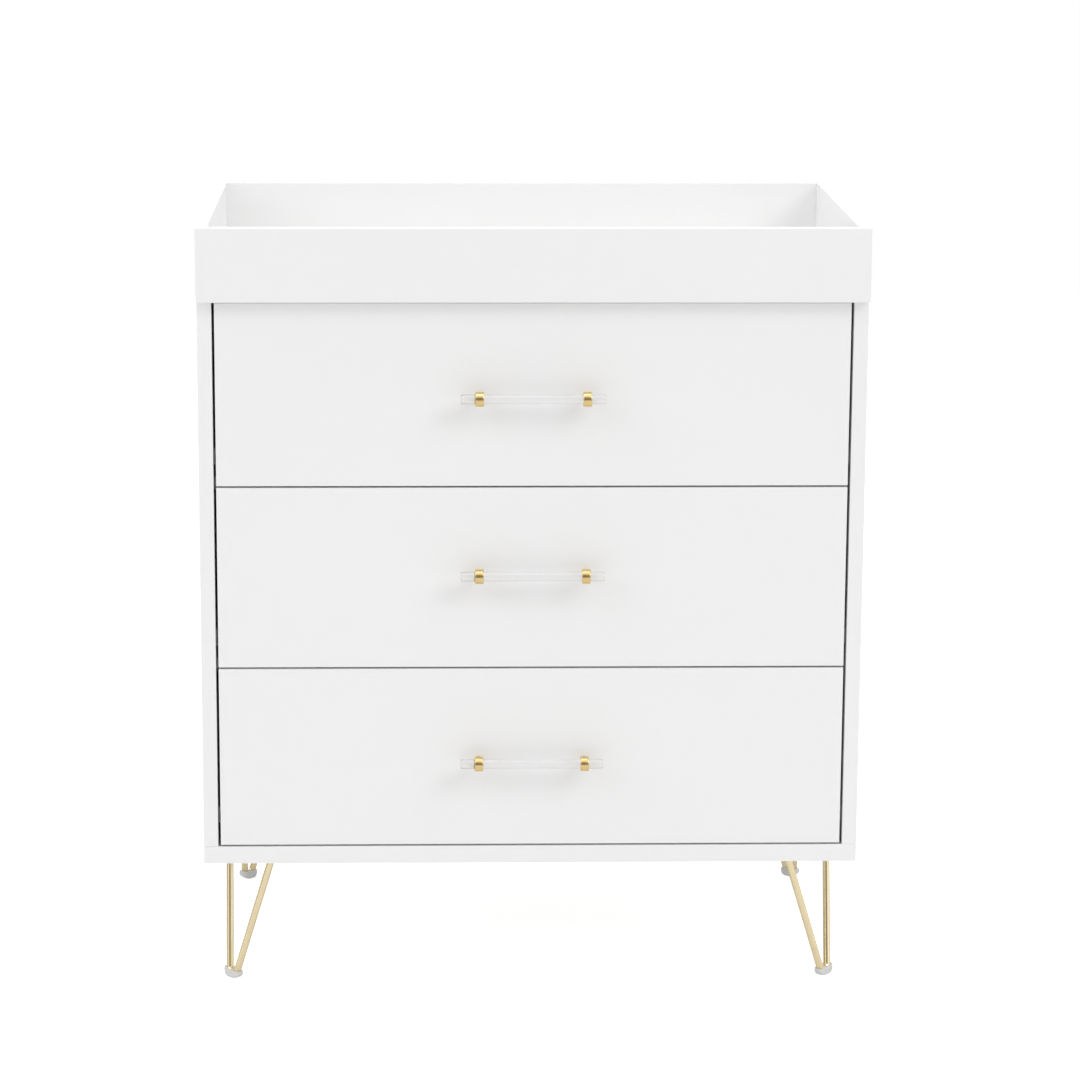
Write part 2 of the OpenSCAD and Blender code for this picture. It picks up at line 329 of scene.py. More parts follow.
def birch_face(name, base, along):
    """Clear-lacquered birch veneer with its grain along one axis."""
    wood = Shader(name, base, 0.42, **{"Coat Weight": 0.12, "Coat Roughness": 0.3})

    def stretched(factor):
        return wood.place(tuple(factor if axis == along else 1.0 for axis in range(3)))

    at = stretched(0.09)
    drift = wood.noise(at, 7.0, detail=2.0)
    bands = wood.node("ShaderNodeTexWave", {
        "Vector": at, "Scale": 22.0, "Distortion": 9.0, "Detail": 3.0,
        "Detail Scale": 0.8, "Phase Offset": wood.spread(drift, 0.0, 14.0),
    }, wave_type="BANDS", bands_direction="Z").outputs["Fac"]
    tone = wood.ramp(bands, ((0.1, tint(base, 0.93)), (0.6, base), (0.95, tint(base, 1.05))))
    cloud = wood.ramp(drift, ((0.3, (0.95, 0.93, 0.90)), (0.7, (1.0, 1.0, 1.0))))
    fibre = wood.noise(stretched(0.03), 700.0, detail=4.0)
    fine = wood.ramp(fibre, ((0.35, (0.90, 0.86, 0.80)), (0.6, (1.0, 1.0, 1.0))))
    wood.link(wood.multiply(0.6, wood.multiply(1.0, tone, cloud), fine), "Base Color")
    wood.link(wood.spread(fibre, 0.50, 0.36), "Roughness")
    wood.bump(fibre, 0.00006, 0.35)
    return wood.material


def ply_edges(name, base, dark, across, start, thickness):
    """The sanded edge of plywood: light and dark plies across its thickness."""
    wood = Shader(name, base, 0.5)
    plies = 9
    at = wood.node("ShaderNodeTexCoord").outputs["Object"]
    axis = wood.node("ShaderNodeSeparateXYZ", {"Vector": at}).outputs[across]
    wobble = wood.math("MULTIPLY", wood.noise(at, 45.0, detail=2.0), 0.22)
    ply = wood.math("MULTIPLY_ADD", axis, plies / thickness, -start * plies / thickness)
    turn = wood.math("PINGPONG", wood.math("ADD", ply, wobble), 1.0)
    tone = wood.ramp(turn, ((0.40, base), (0.52, tint(base, 0.72)), (0.62, dark)))
    fibre = wood.noise(at, 1400.0, detail=3.0)
    speck = wood.ramp(fibre, ((0.3, (0.84, 0.80, 0.74)), (0.65, (1.0, 1.0, 1.0))))
    wood.link(wood.multiply(0.8, tone, speck), "Base Color")
    wood.bump(fibre, 0.00008, 0.5)
    return wood.material


def beech(name, base):
    """Turned beech dowel, with coarse grain along its length and no coating."""
    wood = Shader(name, base, 0.55)
    grain = wood.noise(wood.place((40.0, 40.0, 6.0)), 12.0, detail=5.0, rough=0.6)
    wood.link(wood.ramp(grain, ((0.3, tint(base, 0.8)), (0.7, base))), "Base Color")
    wood.bump(grain, 0.0001, 0.4)
    return wood.material


def metal(name, base, roughness, streaks):
    """Metal with fine streaks; streaks scales Object coordinates, small along the streaks."""
    plate = Shader(name, base, roughness, metallic=1.0)
    lines = plate.noise(plate.place(streaks), 60.0, detail=4.0, rough=0.6)
    cloud = plate.noise(plate.place(), 55.0, detail=3.0)
    both = plate.math("MULTIPLY_ADD", cloud, 0.5, plate.math("MULTIPLY", lines, 0.5))
    plate.link(plate.spread(both, roughness - 0.05, roughness + 0.07), "Roughness")
    plate.link(plate.ramp(cloud, ((0.3, tint(base, 0.95)), (0.7, base))), "Base Color")
    plate.bump(lines, 0.00002, 0.3)
    return plate.material


def acrylic(name, base):
    """Polished clear acrylic, with the faintest ripple left by polishing."""
    clear = Shader(name, base, 0.03, IOR=1.49, **{"Transmission Weight": 1.0})
    at = clear.place((0.25, 1.0, 1.0))
    clear.link(clear.spread(clear.noise(at, 90.0), 0.015, 0.05), "Roughness")
    clear.bump(clear.noise(at, 160.0), 0.00002, 0.2)
    return clear.material


def moulded(name, base, roughness):
    """Moulded plastic with a fine spark-eroded grain."""
    depth = {"Subsurface Weight": 0.08, "Subsurface Scale": 0.002}
    plastic = Shader(name, base, roughness, **depth)
    at = plastic.place()
    fine = plastic.noise(at, 1500.0, detail=2.0)
    cloud = plastic.noise(at, 90.0)
    plastic.link(plastic.ramp(cloud, ((0.3, tint(base, 0.96)), (0.7, base))), "Base Color")
    plastic.link(plastic.spread(fine, roughness - 0.05, roughness + 0.08), "Roughness")
    plastic.bump(fine, 0.00005, 0.4)
    return plastic.material


def coated_steel(name, base):
    """White epoxy powder coat: glossy, with a soft orange peel."""
    coat = Shader(name, base, 0.28, **{"Coat Weight": 0.3, "Coat Roughness": 0.12})
    at = coat.place()
    coat.link(coat.spread(coat.noise(at, 60.0), 0.22, 0.34), "Roughness")
    cloud = coat.noise(at, 14.0)
    coat.link(coat.ramp(cloud, ((0.3, tint(base, 0.97)), (0.7, base))), "Base Color")
    coat.bump(coat.noise(at, 520.0, detail=2.0), 0.00004, 0.3)
    return coat.material


finishes = {}


def finish(key, make):
    """The named finish, made on first use."""
    if key not in finishes:
        finishes[key] = make(key)
    return finishes[key]


def settings():
    """The dresser's settings in this scene."""
    return bpy.context.scene.changing_dresser


def white_lacquer():
    own = settings().boards
    return finish("white_lacquer", lambda key: lacquer(key, own.lacquer, own.gloss))


def zinc():
    own = settings().runners
    return finish("zinc_plate", lambda key: metal(key, own.zinc, 0.34, (1, 1, 1)))


# Mesh helpers


def add_piece(name, mesh, materials, body, nodes=()):
    """Turns a bmesh into a finished piece that rides on a body and stands for CAD nodes."""
    data = bpy.data.meshes.new(name)
    mesh.normal_update()
    mesh.to_mesh(data)
    mesh.free()
    for material in materials:
        data.materials.append(material)
    made = bpy.data.objects.new(name, data)
    bpy.context.scene.collection.objects.link(made)
    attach(made, body)
    if nodes:
        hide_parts(*nodes)
    return made


def paint_node(node, material):
    """Gives a CAD node that stays visible its finish."""
    data = frame["nodes"][node].data
    data.materials.clear()
    data.materials.append(material)


def bevel(mesh, edges, radius, segments=3):
    """Rounds edges and shades only the new faces smooth, so that flat faces stay flat."""
    rounded = bmesh.ops.bevel(
        mesh, geom=edges, offset=radius, offset_type="OFFSET", segments=segments,
        profile=0.5, affect="EDGES", material=-1, clamp_overlap=True,
    )
    for face in rounded["faces"]:
        face.smooth = True
    return rounded["faces"]


def box_mesh(low, high, radius, segments=3):
    mesh = bmesh.new()
    size = high - low
    place = Matrix.Translation((low + high) / 2) @ Matrix.Diagonal((*size, 1))
    bmesh.ops.create_cube(mesh, size=1.0, matrix=place)
    bevel(mesh, mesh.edges[:], radius, segments)
    return mesh


def prism_mesh(outline, along, start, end, radius, segments=3):
    """Extrudes an outline of points in the plane square to one axis, and rounds every edge."""
    mesh = bmesh.new()
    corners = []
    for point in outline:
        corner = list(point)
        corner.insert(along, start)
        corners.append(mesh.verts.new(corner))
    face = mesh.faces.new(corners)
    step = Vector((0, 0, 0))
    step[along] = end - start
    pushed = bmesh.ops.extrude_face_region(mesh, geom=[face])["geom"]
    moved = [item for item in pushed if isinstance(item, bmesh.types.BMVert)]
    bmesh.ops.translate(mesh, verts=moved, vec=step)
    bmesh.ops.recalc_face_normals(mesh, faces=mesh.faces[:])
    bevel(mesh, mesh.edges[:], radius, segments)
    return mesh


def lathe(mesh, profile, centre, axis, steps=48, smooth_angle=math.radians(35)):
    """Turns a profile of (radius, distance along the axis) points about an axis, into mesh."""
    side = axis.orthogonal().normalized()
    turned = bmesh.new()
    points = [turned.verts.new(centre + side * radius + axis * rise) for radius, rise in profile]
    edges = [turned.edges.new(pair) for pair in zip(points, points[1:])]
    bmesh.ops.spin(
        turned, geom=points + edges, cent=centre, axis=axis, angle=math.tau, steps=steps,
        use_merge=True, use_normal_flip=False, use_duplicate=False,
    )
    bmesh.ops.remove_doubles(turned, verts=turned.verts[:], dist=1e-7)
    bmesh.ops.recalc_face_normals(turned, faces=turned.faces[:])
    shade_round(turned, smooth_angle)
    join_into(mesh, turned)


def shade_round(mesh, angle):
    """Shades every face smooth and keeps the edges sharper than an angle."""
    for face in mesh.faces:
        face.smooth = True
    for edge in mesh.edges:
        if len(edge.link_faces) == 2:
            edge.smooth = edge.calc_face_angle() < angle


def join_into(mesh, other):
    """Adds another bmesh to this one, and frees it."""
    data = bpy.data.meshes.new("joined")
    other.to_mesh(data)
    other.free()
    mesh.from_mesh(data)
    bpy.data.meshes.remove(data)


def rounded(radius, low, high, bevel_by, inner=0.0, steps=3):
    """A lathe profile of a disc or ring from low to high, with its outer rims rounded."""
    def arc(centre, start):
        return [
            (radius - bevel_by + bevel_by * math.cos(start + step * math.pi / 2 / steps),
             centre + bevel_by * math.sin(start + step * math.pi / 2 / steps))
            for step in range(steps + 1)
        ]
    rim = arc(low + bevel_by, -math.pi / 2) + arc(high - bevel_by, 0.0)
    return [(inner, low)] + rim + [(inner, high)]


def centre_of(node):
    low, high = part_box(node)
    return (low + high) / 2


# Case and tray


def lacquered_board(node, radius):
    low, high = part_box(node)
    mesh = box_mesh(low, high, radius)
    return add_piece(f"{node}_board", mesh, [white_lacquer()], BODY_OF[node], [node])


def side_panel(node, radius):
    """A side panel, with the rebate that takes the back panel."""
    low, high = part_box(node)
    back_low, back_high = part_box("back_panel")
    if centre_of(node).x < 0:
        outer, inner, step = low.x, high.x, back_low.x
    else:
        outer, inner, step = high.x, low.x, back_high.x
    outline = [
        (outer, low.y), (inner, low.y), (inner, back_low.y), (step, back_low.y),
        (step, high.y), (outer, high.y),
    ]
    mesh = prism_mesh(outline, 2, low.z, high.z, radius)
    return add_piece(f"{node}_board", mesh, [white_lacquer()], BODY_OF[node], [node])


class DRESSER_OT_case(Operator):
    """Add the lacquered boards of the case"""

    bl_idname = "dresser.case"
    bl_label = "Case"

    def execute(self, context):
        radius = settings().boards.edge
        for side in ("left", "right"):
            side_panel(f"side_panel_{side}", radius)
        for node in ("bottom_panel", "top_panel", "lower_drawer_rail", "upper_drawer_rail"):
            lacquered_board(node, radius)
        wood = finish("beech", lambda key: beech(key, (0.62, 0.42, 0.22)))
        paint_node("panel_dowels", wood)
        return {"FINISHED"}


class DRESSER_OT_tray(Operator):
    """Add the walls of the changing tray"""

    bl_idname = "dresser.tray"
    bl_label = "Tray"

    def execute(self, context):
        for wall in ("front", "back", "left", "right"):
            lacquered_board(f"tray_{wall}_wall", settings().boards.rim_edge)
        return {"FINISHED"}


class DRESSER_OT_back(Operator):
    """Add the thin back panel and its nails"""

    bl_idname = "dresser.back"
    bl_label = "Back Panel"

    def execute(self, context):
        own = settings().boards
        low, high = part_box("back_panel")
        board = finish("thin_board", lambda key: thin_board(key, own.thin))
        mesh = box_mesh(low, high, own.thin_edge, segments=2)
        add_piece("back_panel_sheet", mesh, [board], "cabinet", ["back_panel"])
        nails = bmesh.new()
        head = own.nail_size / 2
        sunk = 0.4 * MM
        profile = rounded(head, -sunk, own.nail_rise, own.nail_edge, steps=2)
        inset = head * 2.2
        for x, z in nail_places(low, high, inset, own.nail_pitch):
            lathe(nails, profile, Vector((x, high.y, z)), Y, steps=12)
        add_piece("back_panel_nails", nails, [zinc()], "cabinet")
        return {"FINISHED"}


def nail_places(low, high, inset, pitch):
    """Where the nails go: evenly along the four edges of the back panel."""
    x0, x1 = low.x + inset, high.x - inset
    z0, z1 = low.z + inset, high.z - inset
    across = round((x1 - x0) / pitch)
    up = round((z1 - z0) / pitch)
    places = [(x0 + (x1 - x0) * i / across, z) for i in range(across + 1) for z in (z0, z1)]
    return places + [(x, z0 + (z1 - z0) * i / up) for i in range(1, up) for x in (x0, x1)]


# Drawers


def ply_materials(node, across, along):
    """The face veneer, and the edge plies placed across this board's own thickness."""
    own = settings().boards
    low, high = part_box(node)
    face = finish(f"birch_face_{'xyz'[along]}", lambda key: birch_face(key, own.birch, along))
    edge = ply_edges(
        f"{node}_plies", own.birch, own.ply_dark, across, low[across], high[across] - low[across]
    )
    return [face, edge]


def mark_plies(mesh, across):
    """Gives the faces that aren't square to the thickness the edge material."""
    mesh.normal_update()
    for face in mesh.faces:
        if abs(face.normal[across]) < 0.9:
            face.material_index = 1


def grooved_board(node, level, across, along):
    """A drawer board whose inner face has the groove that holds the drawer floor."""
    radius = settings().boards.ply_edge
    low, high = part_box(node)
    floor_low, floor_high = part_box(f"{level}_drawer_floor")
    if floor_low[across] < low[across]:
        groove, face, outer = floor_high[across], low[across], high[across]
    else:
        groove, face, outer = floor_low[across], high[across], low[across]
    outline = [
        (outer, low.z), (face, low.z), (face, floor_low.z), (groove, floor_low.z),
        (groove, floor_high.z), (face, floor_high.z), (face, high.z), (outer, high.z),
    ]
    mesh = prism_mesh(outline, along, low[along], high[along], radius, segments=2)
    mark_plies(mesh, across)
    materials = ply_materials(node, across, along)
    return add_piece(f"{node}_ply", mesh, materials, BODY_OF[node], [node])


class DRESSER_OT_drawers(Operator):
    """Add the drawer fronts, boxes and floors"""

    bl_idname = "dresser.drawers"
    bl_label = "Drawers"

    def execute(self, context):
        own = settings().boards
        thin = finish("thin_board", lambda key: thin_board(key, own.thin))
        for level in LEVELS:
            lacquered_board(f"{level}_drawer_front", own.edge)
            for side in ("left", "right"):
                grooved_board(f"{level}_drawer_side_{side}", level, across=0, along=1)
            grooved_board(f"{level}_drawer_back", level, across=1, along=0)
            node = f"{level}_drawer_floor"
            mesh = box_mesh(*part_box(node), own.thin_edge, segments=1)
            add_piece(f"{node}_sheet", mesh, [thin], BODY_OF[node], [node])
        return {"FINISHED"}


# Runners, rollers and screws


def screw_mesh(radius, height, shank, drop):
    """One pan-head screw along +Z: its head from 0 to height, its shank down to -drop."""
    mesh = bmesh.new()
    rim, steps = 0.35 * height, 5
    dome = []
    for step in range(steps):
        rise = step * math.pi / 2 / steps
        dome.append((radius * math.cos(rise), rim + (height - rim) * math.sin(rise)))
    tip = [(0.0, -drop), (shank * 0.6, -drop), (shank, -drop + shank * 0.5)]
    profile = tip + [(shank, 0.0), (radius, 0.0)] + dome + [(0.0, height)]
    lathe(mesh, profile, Vector((0, 0, 0)), Z, steps=24)
    recess = bmesh.new()
    arm = Matrix.Diagonal((radius * 1.15, radius * 0.24, height * 1.1, 1))
    for turn in (0.0, math.pi / 2):
        place = Matrix.Rotation(turn, 4, "Z") @ Matrix.Translation((0, 0, height))
        bmesh.ops.create_cube(recess, size=1.0, matrix=place @ arm)
    return cut(mesh, recess)


def cut(mesh, tool):
    """The first bmesh with the second one taken out of it."""
    made = []
    for part in (mesh, tool):
        data = bpy.data.meshes.new("cutting")
        part.to_mesh(data)
        part.free()
        made.append(bpy.data.objects.new("cutting", data))
        bpy.context.scene.collection.objects.link(made[-1])
    body, cutter = made
    modifier = body.modifiers.new("cut", "BOOLEAN")
    modifier.object = cutter
    modifier.operation = "DIFFERENCE"
    modifier.solver = "EXACT"
    modifier.use_self = True
    bpy.context.view_layer.update()
    depsgraph = bpy.context.evaluated_depsgraph_get()
    result = bmesh.new()
    result.from_object(body, depsgraph)
    for item in made:
        data = item.data
        bpy.data.objects.remove(item)
        bpy.data.meshes.remove(data)
    shade_round(result, math.radians(35))
    return result


def copies(pattern, places):
    """A bmesh with one copy of the pattern at each place, a matrix."""
    data = bpy.data.meshes.new("pattern")
    pattern.to_mesh(data)
    pattern.free()
    mesh = bmesh.new()
    for place in places:
        before = len(mesh.verts)
        mesh.from_mesh(data)
        mesh.verts.ensure_lookup_table()
        bmesh.ops.transform(mesh, matrix=place, verts=mesh.verts[before:])
    bpy.data.meshes.remove(data)
    return mesh


def facing(point, normal):
    """The matrix that puts +Z along a normal at a point."""
    return Matrix.Translation(point) @ normal.to_track_quat("Z", "Y").to_matrix().to_4x4()


def islands(node):
    """The boxes of a CAD node's separate solids, as (low, high)."""
    mesh = bmesh.new()
    mesh.from_mesh(frame["nodes"][node].data)
    bmesh.ops.remove_doubles(mesh, verts=mesh.verts[:], dist=1e-6)
    seen, found = set(), []
    for vert in mesh.verts:
        if vert in seen:
            continue
        stack, part = [vert], []
        seen.add(vert)
        while stack:
            here = stack.pop()
            part.append(here.co.copy())
            for edge in here.link_edges:
                other = edge.other_vert(here)
                if other not in seen:
                    seen.add(other)
                    stack.append(other)
        low = Vector([min(point[axis] for point in part) for axis in range(3)])
        high = Vector([max(point[axis] for point in part) for axis in range(3)])
        found.append((low, high))
    mesh.free()
    return found


class DRESSER_OT_runners(Operator):
    """Add the runners' finish, their screws and the rollers"""

    bl_idname = "dresser.runners"
    bl_label = "Runners"

    def execute(self, context):
        own = settings().runners
        paint = finish("runner_coat", lambda key: coated_steel(key, own.paint))
        nylon = finish("nylon", lambda key: moulded(key, own.nylon, 0.42))
        for level in LEVELS:
            for part in ("case_runners", "drawer_runners"):
                node = f"{level}_{part}"
                paint_node(node, paint)
                self.add_screws(node, own)
            for part in ("case_rollers", "drawer_rollers"):
                self.add_rollers(f"{level}_{part}", nylon, own)
        return {"FINISHED"}

    def add_screws(self, node, own):
        """Screw heads along the web of each runner of a pair."""
        places = []
        for low, high in islands(node):
            left = low.x < 0
            if node.endswith("case_runners"):
                x = low.x + own.web if left else high.x - own.web
                z = low.z + own.case_rise
                normal = X if left else -X
            else:
                inside = own.under_box + own.web
                x = high.x - inside if left else low.x + inside
                z = high.z - own.drawer_drop
                normal = -X if left else X
            first, last = low.y + own.first, high.y - own.last
            for i in range(own.screws):
                y = first + (last - first) * i / (own.screws - 1)
                places.append(facing(Vector((x, y, z)), normal))
        screw = screw_mesh(own.screw_head / 2, own.screw_rise, own.screw_shank, own.screw_deep)
        mesh = copies(screw, places)
        add_piece(f"{node}_screws", mesh, [zinc()], BODY_OF[node])

    def add_rollers(self, node, nylon, own):
        """A pair of rollers with rounded rims and dished sides."""
        mesh = bmesh.new()
        for low, high in islands(node):
            middle = (low + high) / 2
            radius = (high.z - low.z) / 2
            half = (high.x - low.x) / 2
            hub = own.bore + own.hub_wall
            dish = radius - own.rim_wall
            floor = half - own.recess
            outer = rounded(radius, -half, half, own.rim_round, inner=dish)
            left = [(own.bore, -half), (hub, -half), (hub, -floor), (dish, -floor)]
            right = [(dish, floor), (hub, floor), (hub, half), (own.bore, half)]
            lathe(mesh, left + outer + right + left[:1], middle, X, steps=40)
        add_piece(f"{node}_wheels", mesh, [nylon], BODY_OF[node], [node])


class DRESSER_OT_fasteners(Operator):
    """Add the leg screws, the handle screws, and the tray's strips and screws"""

    bl_idname = "dresser.fasteners"
    bl_label = "Fasteners"

    def execute(self, context):
        own = settings().runners
        self.add_screws("leg_screws", 2, -1, own.leg_rise)
        for level in LEVELS:
            self.add_screws(f"{level}_handle_screws", 1, 1, own.handle_rise)
        self.add_screws("tray_strip_screws", 1, 1, own.strip_rise)
        strips = bmesh.new()
        for low, high in islands("tray_strips"):
            join_into(strips, box_mesh(low, high, own.strip_edge, segments=2))
        add_piece("tray_strip_plates", strips, [zinc()], "cabinet", ["tray_strips"])
        return {"FINISHED"}

    def add_screws(self, node, along, sign, head):
        """Detailed screws in place of a node of plain ones, with their heads facing along an
        axis, or against it where sign is -1."""
        parts = islands(node)
        low, high = parts[0]
        across = 0 if along else 1
        radius = (high[across] - low[across]) / 2
        deep = high[along] - low[along]
        pattern = screw_mesh(radius, head, radius / 2, deep - head)
        normal = Vector((0, 0, 0))
        normal[along] = sign
        places = []
        for low, high in parts:
            point = (low + high) / 2
            point[along] = (high[along] - head) if sign > 0 else (low[along] + head)
            places.append(facing(point, normal))
        mesh = copies(pattern, places)
        add_piece(f"{node}_detail", mesh, [zinc()], BODY_OF[node], [node])


# Handles


class DRESSER_OT_handles(Operator):
    """Add the clear bars and the brass collars and posts"""

    bl_idname = "dresser.handles"
    bl_label = "Handles"

    def execute(self, context):
        own = settings().handles
        clear = finish("clear_acrylic", lambda key: acrylic(key, own.clear))
        brass = finish("polished_brass", lambda key: metal(key, own.brass, own.polish, (0.2, 1, 1)))
        for level in LEVELS:
            self.add_bar(f"{level}_handle_bar", clear, own)
            self.add_posts(level, brass, own)
        return {"FINISHED"}

    def add_bar(self, node, clear, own):
        low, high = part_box(node)
        half = (high.x - low.x) / 2
        radius = (high.z - low.z) / 2
        mesh = bmesh.new()
        lathe(mesh, rounded(radius, -half, half, own.bar_bevel), (low + high) / 2, X, steps=64)
        add_piece(f"{node}_rod", mesh, [clear], BODY_OF[node], [node])

    def add_posts(self, level, brass, own):
        node = f"{level}_handle_posts"
        bar = centre_of(f"{level}_handle_bar")
        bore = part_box(f"{level}_handle_bar")[1].z - bar.z + own.play
        mesh = bmesh.new()
        for low, high in islands(node):
            collar = bar.copy()
            collar.x = (low.x + high.x) / 2
            radius = (high.z - low.z) / 2
            half = (high.x - low.x) / 2
            ring = rounded(radius, -half, half, own.collar_bevel, inner=bore)
            lathe(mesh, ring + [ring[0]], collar, X, steps=64)
            reach, post = high.y - bar.y, own.post / 2
            start = math.sqrt(bore * bore - post * post)
            profile = rounded(post, start, reach, own.post_bevel, steps=2)[2:]
            lathe(mesh, [(0.0, start), (post, start)] + profile, collar, Y, steps=40)
        add_piece(f"{node}_set", mesh, [brass], BODY_OF[node], [node])


# Legs

# A weld bead's outline, as millimetres out from the rod and up to the plate
WELD = ((0.35, -2.4), (1.3, -1.5), (2.0, -0.6), (2.2, 0.0))


def leg_axes(corner):
    """For a corner of the case: the corner under the bottom panel and the two inward directions."""
    low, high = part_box("bottom_panel")
    left, front = "left" in corner, "front" in corner
    point = Vector((low.x if left else high.x, low.y if front else high.y, low.z))
    return point, X if left else -X, Y if front else -Y


class DRESSER_OT_legs(Operator):
    """Add the hairpin legs, with their plates and weld beads"""

    bl_idname = "dresser.legs"
    bl_label = "Legs"

    def execute(self, context):
        own = settings().legs
        gold = finish("satin_gold", lambda key: metal(key, own.gold, own.satin, (1, 1, 0.12)))
        for corner in CORNERS:
            self.add_leg(corner, gold, own)
        return {"FINISHED"}

    def add_leg(self, corner, gold, own):
        node = f"leg_{corner}"
        point, inward_x, inward_y = leg_axes(corner)
        bend = point + (inward_x + inward_y) * own.foot
        bend.z = own.bend_rise
        under = -own.plate_t * Z
        tops = [
            point + inward_x * own.near + inward_y * own.far + under,
            point + inward_x * own.far + inward_y * own.near + under,
        ]
        mesh = self.hairpin(bend, tops, own)
        self.add_plate(mesh, node, point, inward_x, inward_y, own)
        rod = own.rod / 2
        inside = rod * 0.9
        bead = [(inside, -2.6 * MM)] + [(rod + out * MM, up * MM) for out, up in WELD]
        bead += [(inside, 0.0), bead[0]]
        for top in tops:
            lathe(mesh, bead, top, Z, steps=32, smooth_angle=math.radians(60))
        add_piece(f"{node}_hairpin", mesh, [gold], BODY_OF[node], [node])

    def hairpin(self, bend, tops, own):
        """A round rod from one top, round the bend and up to the other top."""
        across = (tops[1] - tops[0]).normalized()
        middle = (tops[0] + tops[1]) / 2
        up = (middle - bend).normalized()
        face = across.cross(up).normalized()
        half, rise = (tops[1] - tops[0]).length / 2, (middle - bend).length
        reach = math.hypot(half, rise)
        splay = math.atan2(half, rise) - math.asin(own.bend / reach)
        straight = math.sqrt(reach * reach - own.bend * own.bend)
        rods = [side * math.sin(splay) * across + math.cos(splay) * up for side in (-1, 1)]
        start = bend - own.bend * (math.cos(splay) * across + math.sin(splay) * up)
        mesh = bmesh.new()
        ring = bmesh.ops.create_circle(
            mesh, cap_ends=False, segments=40, radius=own.rod / 2,
            matrix=facing(start + rods[0] * straight, -rods[0]),
        )["verts"]
        edges = list({edge for vert in ring for edge in vert.link_edges})
        edges = self.push(mesh, edges, -rods[0] * straight)
        swept = bmesh.ops.spin(
            mesh, geom=edges + list({v for e in edges for v in e.verts}), cent=bend, axis=-face,
            angle=-(math.pi - 2 * splay), steps=28, use_merge=False, use_duplicate=False,
        )["geom_last"]
        edges = [item for item in swept if isinstance(item, bmesh.types.BMEdge)]
        self.push(mesh, edges, rods[1] * straight)
        bmesh.ops.remove_doubles(mesh, verts=mesh.verts[:], dist=1e-7)
        open_edges = [edge for edge in mesh.edges if len(edge.link_faces) == 1]
        bmesh.ops.holes_fill(mesh, edges=open_edges, sides=0)
        bmesh.ops.recalc_face_normals(mesh, faces=mesh.faces[:])
        shade_round(mesh, math.radians(50))
        return mesh

    def push(self, mesh, edges, step):
        """Extrudes a ring of edges and returns the new ring."""
        pushed = bmesh.ops.extrude_edge_only(mesh, edges=edges)["geom"]
        moved = [item for item in pushed if isinstance(item, bmesh.types.BMVert)]
        bmesh.ops.translate(mesh, verts=moved, vec=step)
        return [item for item in pushed if isinstance(item, bmesh.types.BMEdge)]

    def add_plate(self, mesh, node, point, inward_x, inward_y, own):
        """The mounting plate, a square with its inner corner cut off."""
        low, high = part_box(node)
        near = abs((low.x if inward_x.x > 0 else high.x) - point.x)
        far = abs((high.x if inward_x.x > 0 else low.x) - point.x)
        cut_at = far - own.plate_cut
        outline = []
        for u, v in ((near, near), (far, near), (far, cut_at), (cut_at, far), (near, far)):
            corner = point + inward_x * u + inward_y * v
            outline.append((corner.x, corner.y))
        plate = prism_mesh(outline, 2, point.z - own.plate_t, point.z, own.plate_edge, segments=2)
        join_into(mesh, plate)


class DRESSER_OT_feet(Operator):
    """Add the plastic caps on the legs' bends"""

    bl_idname = "dresser.feet"
    bl_label = "Foot Caps"

    def execute(self, context):
        own = settings().legs
        plastic = finish("cap_plastic", lambda key: moulded(key, own.cap, 0.45))
        for corner in CORNERS:
            node = f"foot_{corner}"
            mesh = bmesh.new()
            mesh.from_mesh(frame["nodes"][node].data)
            bmesh.ops.remove_doubles(mesh, verts=mesh.verts[:], dist=1e-6)
            bmesh.ops.dissolve_limit(
                mesh, angle_limit=math.radians(1), verts=mesh.verts[:], edges=mesh.edges[:],
            )
            sharp = [edge for edge in mesh.edges if edge.calc_face_angle(0.0) > math.radians(40)]
            bevel(mesh, sharp, own.cap_edge)
            shade_round(mesh, math.radians(35))
            add_piece(f"{node}_cap", mesh, [plastic], BODY_OF[node], [node])
        return {"FINISHED"}


# Stage

# Each light's name, place and target, in metres
LIGHTS = (
    ("key", (4.9, -4.2, 5.4), (0.0, -0.2, 0.6)),
    ("fill", (-5.0, -2.0, 4.2), (0.0, 0.0, 0.6)),
    ("top", (0.0, 0.1, 4.6), (0.0, 0.1, 0.9)),
)
# The dark sides of the room: a direction, and the cosines where the dark is full and ends
FLAGS = (
    ((-0.04, -0.95, 0.24), 0.94, 0.76),
    ((-0.98, 0.05, 0.1), 0.92, 0.76),
)


